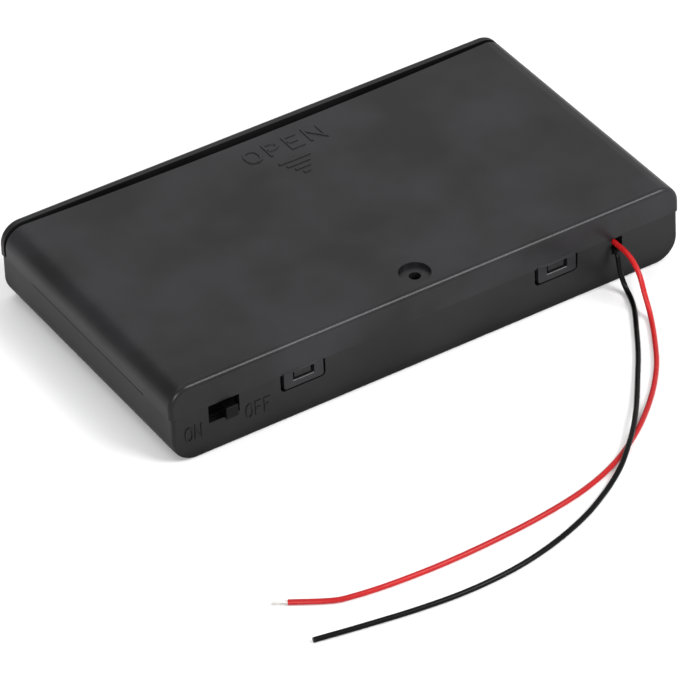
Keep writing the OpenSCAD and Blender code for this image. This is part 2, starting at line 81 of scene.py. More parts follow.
def loft(name, rings):
    count = len(rings[0])
    vertices = [point for ring in rings for point in ring]
    faces = [list(range(count)), [(len(rings) - 1) * count + i for i in range(count)]]
    for i in range(len(rings) - 1):
        for k in range(count):
            after = (k + 1) % count
            low, high = i * count, (i + 1) * count
            faces.append([low + k, low + after, high + after, high + k])
    return pieceFrom(name, vertices, faces)


def box(low, high):
    ring = [(low[0], low[1]), (high[0], low[1]), (high[0], high[1]), (low[0], high[1])]
    return loft("box", [[(x, y, z) for x, y in ring] for z in (low[2], high[2])])


def placed(a, b, along, axis):
    # a point of an outline that faces along the axis
    return {"x": (along, a, b), "y": (a, along, b), "z": (a, b, along)}[axis]


def prism(outline, axis, start, end):
    return loft("prism", [[placed(a, b, along, axis) for a, b in outline] for along in (start, end)])


def circle(centre, radius, sides):
    turns = [2 * math.pi * i / sides for i in range(sides)]
    return [(centre[0] + radius * math.cos(t), centre[1] + radius * math.sin(t)) for t in turns]


def roundBar(centre, radius, axis, start, end, sides=72):
    return prism(circle(centre, radius, sides), axis, start, end)


def turnedForm(centre, axis, start, sign, profile, sides):
    # round form with a radius at each distance from its start, smooth all over
    rings = [[placed(a, b, start + sign * away, axis) for a, b in circle(centre, radius, sides)]
             for radius, away in profile]
    form = loft("turned", rings)
    form.data.shade_smooth()
    return form


def roundedRectangle(low, high, radii, steps=6):
    # corners run from the lower left one, anticlockwise, each with its own radius
    places = [(low[0], low[1], 180), (high[0], low[1], 270),
              (high[0], high[1], 0), (low[0], high[1], 90)]
    outline = []
    for (x, y, begin), radius in zip(places, radii):
        centreX = x + (radius if x == low[0] else -radius)
        centreY = y + (radius if y == low[1] else -radius)
        for i in range(steps + 1 if radius > 0 else 1):
            turn = math.radians(begin + 90 * i / steps)
            outline.append((centreX + radius * math.cos(turn), centreY + radius * math.sin(turn)))
    return outline


def joined(name, pieces):
    work = bmesh.new()
    for piece in pieces:
        work.from_mesh(piece.data)
        removePiece(piece)
    mesh = bpy.data.meshes.new(name)
    work.to_mesh(mesh)
    work.free()
    piece = bpy.data.objects.new(name, mesh)
    bpy.context.collection.objects.link(piece)
    return piece


def removePiece(piece):
    mesh = piece.data
    bpy.data.objects.remove(piece)
    bpy.data.meshes.remove(mesh)


def settle(piece):
    # turns what the modifiers make into a plain mesh
    graph = bpy.context.evaluated_depsgraph_get()
    mesh = bpy.data.meshes.new_from_object(piece.evaluated_get(graph))
    piece.modifiers.clear()
    piece.data = mesh
    return piece


def combine(piece, tool, operation):
    boolean = piece.modifiers.new("combine", "BOOLEAN")
    boolean.object = tool
    boolean.operation = operation
    boolean.solver = "MANIFOLD"
    settle(piece)
    removePiece(tool)


def cut(piece, *tools):
    for tool in tools:
        combine(piece, tool, "DIFFERENCE")


def add(piece, *tools):
    for tool in tools:
        combine(piece, tool, "UNION")


edgeSet = {
    "weld": 0.0005,          # points this close become one
    "flat": 0.3,             # faces join where they turn less than this many degrees
    "rounded": 32,           # edges that turn more are rounded
    "hard": 50,              # edges that still turn more stay hard to the light
}


def softenEdges(piece, width, segments=2, crisp=None):
    # rounds the sharp edges, apart from those that crisp(middle of the edge) keeps
    work = bmesh.new()
    work.from_mesh(piece.data)
    bmesh.ops.remove_doubles(work, verts=work.verts, dist=edgeSet["weld"])
    bmesh.ops.dissolve_limit(work, angle_limit=math.radians(edgeSet["flat"]),
                             verts=work.verts, edges=work.edges)
    weights = work.edges.layers.float.new("bevel_weight_edge")
    for edge in work.edges:
        turned = edge.calc_face_angle(0) > math.radians(edgeSet["rounded"])
        middle = (edge.verts[0].co + edge.verts[1].co) / 2
        edge[weights] = 1.0 if turned and not (crisp and crisp(middle)) else 0.0
    work.to_mesh(piece.data)
    work.free()
    bevel = piece.modifiers.new("soften", "BEVEL")
    bevel.width = width
    bevel.segments = segments
    bevel.limit_method = "WEIGHT"
    bevel.use_clamp_overlap = True
    settle(piece)
    piece.data.shade_smooth()
    piece.data.set_sharp_from_angle(angle=math.radians(edgeSet["hard"]))
    weighted = piece.modifiers.new("flats", "WEIGHTED_NORMAL")
    weighted.keep_sharp = True
    settle(piece)


def finishPiece(piece, name, material, body, slot, *nodes):
    piece.name = name
    piece.data.name = name
    piece.data.materials.clear()
    piece.data.materials.append(material)
    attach(piece, body)
    if nodes:
        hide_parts(*nodes)


def finishForm(piece, *rest):
    # for a piece built in millimetres
    toFrame(piece.data)
    finishPiece(piece, *rest)


def blankMaterial(name):
    material = bpy.data.materials.new(name)
    material.use_nodes = True
    tree = material.node_tree
    shader = tree.nodes["Principled BSDF"]
    place = tree.nodes.new("ShaderNodeTexCoord")
    return material, tree, shader, place.outputs["Object"]


def noise(tree, place, scale, detail, roughness):
    node = tree.nodes.new("ShaderNodeTexNoise")
    node.inputs["Scale"].default_value = scale
    node.inputs["Detail"].default_value = detail
    node.inputs["Roughness"].default_value = roughness
    tree.links.new(place, node.inputs["Vector"])
    return node.outputs["Fac"]


def ramp(tree, source, stops):
    # two stops, each a position and a colour
    node = tree.nodes.new("ShaderNodeValToRGB")
    for element, (position, colour) in zip(node.color_ramp.elements, stops):
        element.position = position
        element.color = (*colour, 1)
    tree.links.new(source, node.inputs["Fac"])
    return node.outputs["Color"]


def rangeOf(tree, source, low, high):
    # most of a noise lies between these two values
    node = tree.nodes.new("ShaderNodeMapRange")
    for socket, value in {"From Min": 0.3, "From Max": 0.7, "To Min": low, "To Max": high}.items():
        node.inputs[socket].default_value = value
    tree.links.new(source, node.inputs["Value"])
    return node.outputs["Result"]


def bump(tree, shader, source, distance):
    node = tree.nodes.new("ShaderNodeBump")
    node.inputs["Distance"].default_value = distance
    tree.links.new(source, node.inputs["Height"])
    tree.links.new(node.outputs["Normal"], shader.inputs["Normal"])


# Noise scales are per metre
plasticNoise = {"patches": {"scale": 48, "detail": 3, "roughness": 0.5}, "patchEdges": (0.36, 0.64),
                "gloss": {"scale": 110, "detail": 5, "roughness": 0.6},
                "grain": {"scale": 3800, "detail": 3, "roughness": 0.6}}
metalNoise = {"streaks": {"scale": 1500, "detail": 4, "roughness": 0.6}, "streakEdges": (0.25, 0.75),
              "gloss": {"scale": 500, "detail": 4, "roughness": 0.5}, "depth": 0.0000012}


def mouldedPlastic(name, dark, light, gloss, grain=0.000012, level=0.5):
    # spark-eroded grain, faint cloudy patches and slightly uneven gloss
    n = plasticNoise
    material, tree, shader, place = blankMaterial(name)
    colour = ramp(tree, noise(tree, place, **n["patches"]), zip(n["patchEdges"], (dark, light)))
    tree.links.new(colour, shader.inputs["Base Color"])
    tree.links.new(rangeOf(tree, noise(tree, place, **n["gloss"]), *gloss), shader.inputs["Roughness"])
    shader.inputs["Specular IOR Level"].default_value = level
    bump(tree, shader, noise(tree, place, **n["grain"]), grain)
    return material


def platedMetal(name, dark, light, gloss, lines=(1, 1, 1)):
    # fine streaks, drawn out along the axes where lines is small
    n = metalNoise
    material, tree, shader, place = blankMaterial(name)
    stretch = tree.nodes.new("ShaderNodeMapping")
    stretch.inputs["Scale"].default_value = lines
    tree.links.new(place, stretch.inputs["Vector"])
    streaks = noise(tree, stretch.outputs["Vector"], **n["streaks"])
    colour = ramp(tree, streaks, zip(n["streakEdges"], (dark, light)))
    tree.links.new(colour, shader.inputs["Base Color"])
    tree.links.new(rangeOf(tree, noise(tree, place, **n["gloss"]), *gloss), shader.inputs["Roughness"])
    shader.inputs["Metallic"].default_value = 1
    bump(tree, shader, streaks, n["depth"])
    return material


casePlastic = mouldedPlastic("casePlastic", dark=(0.004, 0.004, 0.0045), light=(0.0075, 0.0075, 0.008),
                             gloss=(0.32, 0.37), level=0.24)
coverPlastic = mouldedPlastic("coverPlastic", dark=(0.003, 0.003, 0.0032), light=(0.012, 0.012, 0.014),
                              gloss=(0.3, 0.35), level=0.265)
switchPlastic = mouldedPlastic("switchPlastic", dark=(0.001, 0.001, 0.001), light=(0.002, 0.002, 0.002),
                               gloss=(0.6, 0.75), grain=0.000006, level=0.15)
knobPlastic = mouldedPlastic("knobPlastic", dark=(0.002, 0.002, 0.002), light=(0.004, 0.004, 0.004),
                             gloss=(0.25, 0.3), grain=0.000004, level=0.09)
redInsulation = mouldedPlastic("redInsulation", dark=(0.35, 0.007, 0.009), light=(0.43, 0.01, 0.011),
                               gloss=(0.24, 0.34), grain=0.000005, level=0.22)
blackInsulation = mouldedPlastic("blackInsulation", dark=(0.001, 0.001, 0.001),
                                 light=(0.002, 0.002, 0.002), gloss=(0.2, 0.28), grain=0.000005, level=0.1)
terminalBoard = mouldedPlastic("terminalBoard", dark=(0.16, 0.075, 0.028), light=(0.23, 0.12, 0.05),
                               gloss=(0.5, 0.65), grain=0.00001)
nickelPlate = platedMetal("nickelPlate", dark=(0.56, 0.54, 0.5), light=(0.72, 0.7, 0.66),
                          gloss=(0.22, 0.36), lines=(1, 1, 0.12))
springSteel = platedMetal("springSteel", dark=(0.5, 0.49, 0.47), light=(0.68, 0.67, 0.64),
                          gloss=(0.2, 0.34))
contactBrass = platedMetal("contactBrass", dark=(0.62, 0.42, 0.16), light=(0.78, 0.58, 0.27),
                           gloss=(0.25, 0.4), lines=(1, 1, 0.15))
pinMetal = platedMetal("pinMetal", dark=(0.6, 0.6, 0.57), light=(0.74, 0.74, 0.7),
                       gloss=(0.3, 0.45))
tinnedCopper = platedMetal("tinnedCopper", dark=(0.58, 0.56, 0.53), light=(0.76, 0.74, 0.71),
                           gloss=(0.26, 0.42))
print("materials ready")


# Camera, world, lamps, floor and reflected cards
cameraSet = {
    "place": (-0.46444, -0.76771, 0.67699),
    "turn": (52.2231, 1.8273, -32.5257),
    "lens": 270.62,
    "clip": (0.05, 20),
}
cameraData = bpy.data.cameras.new("camera")
cameraData.lens = cameraSet["lens"]
cameraData.clip_start, cameraData.clip_end = cameraSet["clip"]
camera = bpy.data.objects.new("camera", cameraData)
camera.location = cameraSet["place"]
camera.rotation_euler = [math.radians(a) for a in cameraSet["turn"]]
bpy.context.collection.objects.link(camera)
bpy.context.scene.camera = camera
bpy.context.scene.view_settings.view_transform = "Standard"


def mattePaint(name, grey):
    paint, _, shader, _ = blankMaterial(name)
    shader.inputs["Base Color"].default_value = (grey, grey, grey, 1)
    shader.inputs["Specular IOR Level"].default_value = 0
    return paint


def matteCard(name, grey, corners):
    card = pieceFrom(name, corners, [[0, 1, 2, 3]])
    card.data.materials.append(mattePaint(name, grey))
    return card


def flatCorners(low, high, height=0):
    return [(low[0], low[1], height), (high[0], low[1], height),
            (high[0], high[1], height), (low[0], high[1], height)]


floorSet = {"half": 4.0, "height": -0.0001, "grey": 0.93}
half = floorSet["half"]
matteCard("floor", floorSet["grey"], flatCorners((-half, -half), (half, half), floorSet["height"]))

world = bpy.data.worlds.new("studio")
bpy.context.scene.world = world
world.use_nodes = True
sky = world.node_tree
skySet = {"light": 0.4, "seen": 1.0}
rays = sky.nodes.new("ShaderNodeLightPath")
seen = None
for kind in ("Is Camera Ray", "Is Glossy Ray", "Is Transmission Ray"):
    either = sky.nodes.new("ShaderNodeMath")
    either.operation = "MAXIMUM"
    sky.links.new(rays.outputs[kind], either.inputs[0])
    if seen:
        sky.links.new(seen.outputs[0], either.inputs[1])
    seen = either
strength = sky.nodes.new("ShaderNodeMapRange")
strength.inputs["To Min"].default_value = skySet["light"]
strength.inputs["To Max"].default_value = skySet["seen"]
sky.links.new(seen.outputs[0], strength.inputs["Value"])
background = sky.nodes["Background"]
background.inputs["Color"].default_value = (1, 1, 1, 1)
sky.links.new(strength.outputs["Result"], background.inputs["Strength"])


def softbox(name, direction, distance, size, power):
    lamp = bpy.data.lights.new(name, "AREA")
    lamp.shape = "RECTANGLE"
    lamp.size, lamp.size_y = size
    lamp.energy = power
    holder = bpy.data.objects.new(name, lamp)
    away = Vector(direction).normalized()
    holder.location = away * distance
    holder.rotation_mode = "QUATERNION"
    holder.rotation_quaternion = away.to_track_quat("Z", "Y")
    bpy.context.collection.objects.link(holder)


softbox("keyLight", direction=(0.41, -0.61, 0.68), distance=1.6, size=(0.7, 0.7), power=19)
softbox("fillLight", direction=(-0.6, -0.7, 0.39), distance=1.6, size=(0.4, 0.4), power=11)
softbox("topLight", direction=(-0.1, 0.35, 0.93), distance=1.8, size=(1.2, 0.8), power=5)

# Painted shade in the reflections: grey cards that only reflections show, darker than the floor. The bands
# on the floor get darker close to the case, where its shade falls, and there are two dark walls
cards = {
    "leftFloorPaintedShade": (0.72, flatCorners((-1, -1.2), (-0.0675, 1))),
    # painted shadow of the case's foot on the floor, seen only in reflections
    "leftNearPaintedShade": (0.5, flatCorners((-0.0675, -0.0361), (-0.063, 0.0361))),
    "frontFloorPaintedShade": (0.84, flatCorners((-0.0675, -1.2), (0.3, -0.044))),
    "frontMiddlePaintedShade": (0.74, flatCorners((-0.0675, -0.044), (0.3, -0.0385))),
    "frontNearPaintedShade": (0.4, flatCorners((-0.0675, -0.0385), (0.3, -0.033))),
    "rightFloorPaintedShade": (0.55, flatCorners((0.0655, -0.033), (1, 1))),
    "backFloorPaintedShade": (0.3, flatCorners((-0.0675, 0.036), (0.0655, 1))),
    "leftWallPaintedShade": (0.4, [(-1.6, 0.1, 0), (-0.1, 1.2, 0), (-0.1, 1.2, 1.1), (-1.6, 0.1, 1.1)]),
    "backWallPaintedShade": (0.02, [(-0.1, 1.2, 0), (1.6, 1.2, 0), (1.6, 1.2, 0.3), (-0.1, 1.2, 0.3)]),
}
for name, (grey, corners) in cards.items():
    card = matteCard(name, grey, corners)
    for kind in ("camera", "diffuse", "transmission", "volume_scatter", "shadow"):
        setattr(card, f"visible_{kind}", False)
print("camera, light and floor ready")


# Points in metres, from the middle of the outlet, the front face and the ground
leadSize = {"diameter": 0.0012, "outlet": (0.048, -0.0361, 0), "step": 0.0008}
redRoute = [
    (-0.0002, 0, 0.0108), (-0.0002, -0.0015, 0.0108), (-0.0002, -0.0045, 0.0107),
    (-0.0004, -0.0073, 0.0101), (-0.0006, -0.01, 0.0082), (-0.0008, -0.0121, 0.0048),
    (-0.0011, -0.0143, 0.0018), (-0.0022, -0.0169, 0.0006), (-0.0052, -0.0222, 0.0006),
    (-0.0097, -0.0293, 0.0006), (-0.015, -0.0357, 0.0006), (-0.021, -0.0415, 0.0006),
    (-0.0276, -0.0467, 0.0006), (-0.0367, -0.0521, 0.0006), (-0.0466, -0.0556, 0.0006),
    (-0.058, -0.0576, 0.0006), (-0.071, -0.0586, 0.0006), (-0.084, -0.0588, 0.0006),
    (-0.096, -0.0581, 0.0006), (-0.1044, -0.0569, 0.0006), (-0.109, -0.0555, 0.0006),
    (-0.1165, -0.0509, 0.0006),
]
redTip = [(-0.1165, -0.0509, 0.0006), (-0.1194, -0.0491, 0.0006)]
blackRoute = [
    (-0.0004, 0, 0.0091), (-0.0004, -0.0006, 0.0091), (-0.0005, -0.0016, 0.0083),
    (-0.0006, -0.0023, 0.0064), (-0.0006, -0.003, 0.0042), (-0.0005, -0.004, 0.0022),
    (-0.0005, -0.0053, 0.0009), (-0.001, -0.0072, 0.0006), (-0.0029, -0.0114, 0.0006),
    (-0.0067, -0.0176, 0.0006), (-0.011, -0.0243, 0.0006), (-0.0157, -0.0308, 0.0007),
    (-0.0208, -0.0377, 0.0011), (-0.0244, -0.0423, 0.0017), (-0.0282, -0.0467, 0.0019),
    (-0.0328, -0.0512, 0.0019), (-0.037, -0.0547, 0.0013), (-0.043, -0.0584, 0.0006),
    (-0.051, -0.0626, 0.0006), (-0.061, -0.0661, 0.0006), (-0.072, -0.0683, 0.0006),
    (-0.084, -0.0688, 0.0006), (-0.0954, -0.0678, 0.0006), (-0.107, -0.0659, 0.0006),
    (-0.1185, -0.0637, 0.0006),
]


def smoothLine(points, step, lowest=0.0):
    # curve through all the points, as fine as the step
    points = [Vector(p) for p in points]
    line = []
    for i in range(len(points) - 1):
        before, start = points[max(i - 1, 0)], points[i]
        end, after = points[i + 1], points[min(i + 2, len(points) - 1)]
        count = max(1, round((end - start).length / step))
        for k in range(count):
            t = k / count
            point = 0.5 * (2 * start + (end - before) * t
                           + (2 * before - 5 * start + 4 * end - after) * t ** 2
                           + (3 * start - before - 3 * end + after) * t ** 3)
            line.append(Vector((point.x, point.y, max(point.z, lowest))))
    line.append(points[-1])
    return line


def lineLength(line):
    return sum((b - a).length for a, b in zip(line, line[1:]))


def wire(name, lines, diameter, roundness=4):
    curve = bpy.data.curves.new(name, "CURVE")
    curve.dimensions = "3D"
    curve.bevel_depth = diameter / 2
    curve.bevel_resolution = roundness
    curve.use_fill_caps = True
    for line in lines:
        spline = curve.splines.new("POLY")
        spline.points.add(len(line) - 1)
        for point, place in zip(spline.points, line):
            point.co = (*place, 1)
        spline.use_smooth = True
    piece = bpy.data.objects.new(name, curve)
    bpy.context.collection.objects.link(piece)
    return piece


def freeLead(name, route, material, slot, node):
    outlet = Vector(leadSize["outlet"])
    line = smoothLine([outlet + Vector(p) for p in route], leadSize["step"], leadSize["diameter"] / 2)
    piece = wire(name, [line], leadSize["diameter"])
    finishPiece(piece, name, material, "case", slot, node)
    return piece, line


redLead, redLine = freeLead("redLead", redRoute, redInsulation, "red_insulation", "red_lead")
blackLead, blackLine = freeLead("blackLead", blackRoute, blackInsulation,
                                "black_insulation", "black_lead")

# Bare end of the red lead: a strand in the middle and six twisted round it, each a little shorter
strandSize = {"strand": 0.00025, "count": 7, "shorter": 0.012, "lay": 0.0026,
              "steps": 24, "roundness": 2}
tipStart, tipEnd = [Vector(leadSize["outlet"]) + Vector(p) for p in redTip]
tipWay = (tipEnd - tipStart).normalized()
tipSide = tipWay.cross(Vector((0, 0, 1))).normalized()
tipUp = tipSide.cross(tipWay)
tipLength = (tipEnd - tipStart).length
strandLines = []
for k in range(strandSize["count"]):
    ring = 0 if k == 0 else strandSize["strand"]
    line = []
    for i in range(strandSize["steps"] + 1):
        along = tipLength * i / strandSize["steps"] * (1 - strandSize["shorter"] * k)
        turn = 2 * math.pi * along / strandSize["lay"] + math.pi * k / 3
        off = math.cos(turn) * tipSide + math.sin(turn) * tipUp
        line.append(tipStart + tipWay * along + ring * off)
    strandLines.append(line)
redStrands = wire("redStrands", strandLines, strandSize["strand"], strandSize["roundness"])
finishPiece(redStrands, "redStrands", tinnedCopper, "case", "tinned_copper", "red_lead_conductor")

print("free leads:", [round(lineLength(line), 4) for line in (redLine, blackLine)], "m of red and black")


# Outer form that case and cover share
def caseSection(inset, drop):
    # drop is what the rim's rounding takes off at this station
    s, steps = caseSize, caseSize["cornerSteps"]
    base, top, share = s["baseCorner"], s["topCorner"], s["baseShare"]
    corners = [
        (inset + base, base, base - drop * share, 180),
        (s["length"] - inset - base, base, base - drop * share, 270),
        (s["length"] - inset - top, s["height"] - top, top - drop, 0),
        (inset + top, s["height"] - top, top - drop, 90),
    ]
    outline = []
    for x, z, radius, begin in corners:
        for i in range(steps + 1):
            turn = math.radians(begin + 90 * i / steps)
            outline.append((x + radius * math.cos(turn), z + radius * math.sin(turn)))
    return outline


def closedForm(inset):
    rim, width, steps = caseSize["rim"], caseSize["width"], caseSize["rimSteps"]
    stations = []
    for i in range(steps + 1):
        turn = math.radians(90 * i / steps)
        stations.append((rim * (1 - math.cos(turn)), rim * (1 - math.sin(turn))))
    stations += [(width - y, drop) for y, drop in reversed(stations)]
    return loft("form", [[(x, y, z) for x, z in caseSection(inset, drop)] for y, drop in stations])


def bayMiddle(bay):
    return caseSize["sideWall"] + (bay - 0.5) * caseSize["pitch"]


lowerSize = {
    "backFoot": 12.1,        # the tall back wall starts just under the parting line
    "dividerTop": 6.2, "trough": 7.4, "partition": 1.4, "partitionTop": 16.0,
    "upstandFace": 1.85, "upstandFoot": 11.2, "upstandTop": 15.4,
    "grooveFoot": 13.2, "grooveHeight": 1.4, "grooveDepth": 0.7, "grooveEnd": 66.35,
    "holderWidth": 3.8, "holderReach": 1.75, "holderTop": 12.0,
    "slotRoom": 0.55, "slotReach": 6.45, "slotFoot": 3.5,
    "post": 5.8, "postTop": 17.85, "pilot": 2.2, "pilotDepth": 9.0, "postY": 6.0, "brace": 0.6,
    "tabOffset": 32.4, "tabHalf": 4.9, "tabFoot": 8.4, "tabBar": 1.6, "tabWindow": 5.3, "tabProud": 0.35,
    "slit": 0.7, "slitCorner": 1.1,
    "blockGap": 0.6, "blockFootGap": 0.4, "blockRecess": 0.45, "blockBevel": 0.3,
    "blockPlate": 1.2, "blockSide": 1.0,
    "windowX": 13.0, "windowHalf": 3.8, "sill": 7.7,
    "outletFrom": 112.0, "outletTo": 114.8, "outletTop": 11.8,
    "cradleReach": 5.0, "cradleHalf": 0.6, "cradleBack": 7.2, "cradleEnd": 8.4,
    "cradleFoot": 6.45, "cradleTop": 9.0,
    "rebateFoot": 11.6, "rebateTop": 12.6, "rebateDepth": 0.45,
    "edge": 0.14,
}


def atFrontSeam(point):
    # the two halves close tight along the front, so their edges stay crisp there
    return point.y < caseSize["crispDepth"] and abs(point.z - caseSize["seam"]) < caseSize["crispReach"]


def makeLowerCase():
    s, c = lowerSize, caseSize
    left, right, over = c["sideWall"], c["length"] - c["sideWall"], c["height"] + far
    middle, partitionFace = c["length"] / 2, c["bayFront"] - s["partition"]
    piece = closedForm(c["overhang"])
    cut(piece, box((-far, -far, c["seam"]), (c["length"] + far, c["width"] + far, over)))
    back = closedForm(0)
    cut(back, box((-far, -far, -far), (c["length"] + far, c["bayBack"], over)),
        box((-far, -far, -far), (c["length"] + far, c["width"] + far, s["backFoot"])))
    add(piece, back)
    # bays, the front compartment and the slits round the catch tabs
    troughs = [roundBar((bayMiddle(b), c["floor"] + s["trough"]), s["trough"], "y",
                        c["bayFront"], c["bayBack"]) for b in range(1, c["bays"] + 1)]
    cut(piece, joined("troughs", troughs))
    cut(piece, box((left, c["bayFront"], s["dividerTop"]), (right, c["bayBack"], over)))
    cut(piece, box((left, c["frontWall"], c["floor"]), (right, partitionFace, over)))
    notches = []
    for side in (-1, 1):
        x, reach = middle + side * s["tabOffset"], s["tabHalf"] + s["slit"]
        outline = roundedRectangle((x - reach, s["tabFoot"] - s["slit"]), (x + reach, c["seam"] + far),
                                   (s["slitCorner"], s["slitCorner"], 0, 0))
        notches.append(prism(outline, "y", -far, c["frontWall"] + hair))
    cut(piece, joined("notches", notches))
    # partition, side upstands with the cover's grooves, holders for the contact plates
    add(piece, box((left - bite, partitionFace, s["upstandFoot"]),
                   (right + bite, c["bayFront"], s["partitionTop"])))
    for mirrored in (False, True):
        def across(*places):
            return sorted(c["length"] - x if mirrored else x for x in places)
        low, high = across(s["upstandFace"], c["sideWall"])
        strip = box((low, s["upstandFace"], s["upstandFoot"]),
                    (high, c["bayBack"] + bite, s["upstandTop"]))
        low, high = across(s["upstandFace"] - bite, s["upstandFace"] + s["grooveDepth"])
        grooveTop = s["grooveFoot"] + s["grooveHeight"]
        cut(strip, box((low, 0, s["grooveFoot"]), (high, s["grooveEnd"], grooveTop)))
        add(piece, strip)
    holders = []
    for border in range(c["bays"] + 1):
        x, half = left + border * c["pitch"], s["holderWidth"] / 2
        low, high = max(x - half, left - bite), min(x + half, right + bite)
        for near, end in ((c["bayFront"] - bite, c["bayFront"] + s["holderReach"]),
                          (c["bayBack"] - s["holderReach"], c["bayBack"] + bite)):
            holders.append(box((low, near, c["floor"]), (high, end, s["holderTop"])))
    add(piece, joined("holders", holders))
    # screw post and its brace
    postPlace = (middle, s["postY"])
    add(piece, roundBar(postPlace, s["post"] / 2, "z", c["floor"] - bite, s["postTop"], sides=64))
    add(piece, box((middle - s["brace"], c["frontWall"] - bite, c["floor"] - bite),
                   (middle + s["brace"], partitionFace + bite, s["holderTop"])))
    # catch blocks in the tabs' windows, each on a plate behind the wall
    for side in (-1, 1):
        x = middle + side * s["tabOffset"]
        half, reach = s["tabWindow"] / 2 - s["blockGap"], s["tabHalf"] + s["slit"] + s["blockSide"]
        face, foot = s["blockRecess"] - s["tabProud"], s["tabFoot"] + s["tabBar"] + s["blockFootGap"]
        outline = [(face, foot), (c["frontWall"] + bite, foot), (c["frontWall"] + bite, c["seam"]),
                   (face + s["blockBevel"], c["seam"]), (face, c["seam"] - s["blockBevel"])]
        add(piece, box((x - reach, c["frontWall"], c["floor"] - bite),
                       (x + reach, c["frontWall"] + s["blockPlate"], c["seam"])))
        add(piece, prism(outline, "x", x - half, x + half))
    # cradle that holds the switch against the front wall
    for side in (-1, 1):
        x, near, foot = s["windowX"] + side * s["cradleReach"], c["frontWall"] - bite, c["floor"] - bite
        outline = [(near, foot), (s["cradleEnd"], foot), (s["cradleEnd"], s["cradleTop"]),
                   (s["cradleBack"], s["cradleTop"]), (s["cradleBack"], s["cradleFoot"]),
                   (near, s["cradleFoot"])]
        add(piece, prism(outline, "x", x - s["cradleHalf"], x + s["cradleHalf"]))
    # slots for the contact plates: first bay, last bay and whether it is at the back
    slots = []
    pairs = [(1, 1, False), (c["bays"], c["bays"], False)]
    pairs += [(b, b + 1, False) for b in range(2, c["bays"] - 1, 2)]
    pairs += [(b, b + 1, True) for b in range(1, c["bays"], 2)]
    for first, last, atBack in pairs:
        low = c["bayBack"] - s["slotRoom"] if atBack else c["bayFront"]
        slots.append(box((bayMiddle(first) - s["slotReach"], low, s["slotFoot"]),
                         (bayMiddle(last) + s["slotReach"], low + s["slotRoom"], over)))
    cut(piece, joined("slots", slots))
    cut(piece, roundBar(postPlace, s["pilot"] / 2, "z", s["postTop"] - s["pilotDepth"], over, sides=48))
    # switch window and outlet
    cut(piece, box((s["windowX"] - s["windowHalf"], -far, s["sill"]),
                   (s["windowX"] + s["windowHalf"], c["frontWall"] + hair, c["seam"] + far)))
    cut(piece, box((s["outletFrom"], -far, s["sill"]),
                   (s["outletTo"], c["frontWall"] + hair, s["outletTop"])))
    # shadow line under the cover's sides
    depth = c["overhang"] + s["rebateDepth"]
    for low, high in ((-far, depth), (c["length"] - depth, c["length"] + far)):
        cut(piece, box((low, c["openStart"], s["rebateFoot"]), (high, c["openEnd"], s["rebateTop"])))
    softenEdges(piece, s["edge"], crisp=atFrontSeam)
    finishForm(piece, "lowerCase", casePlastic, "case", "case_plastic", "lower_case")
    return piece


lowerCase = makeLowerCase()
print("lower case:", len(lowerCase.data.polygons), "faces")


coverSize = {
    "wall": 1.6, "foot": 12.205, "sideFoot": 12.45,
    "rearMiddle": 67.7, "rearEnds": 69.2, "rearSteps": 48,
    "railStart": 11.0, "railEnd": 66.1, "railFoot": 13.4, "railHeight": 1.0, "railReach": 2.35,
    "hole": 1.35, "recess": 3.6, "recessDepth": 1.0,     # radii of the screw hole and of its recess
    # catch tabs: their back leans from tabUnder below their foot up to the shoulder
    "shoulder": 13.24, "shoulderFace": 0.3, "tabUnder": 1.0,
    "tabCorner": 0.6, "windowCorner": 0.3, "sillLip": 0.14,
    "edge": 0.12,
}


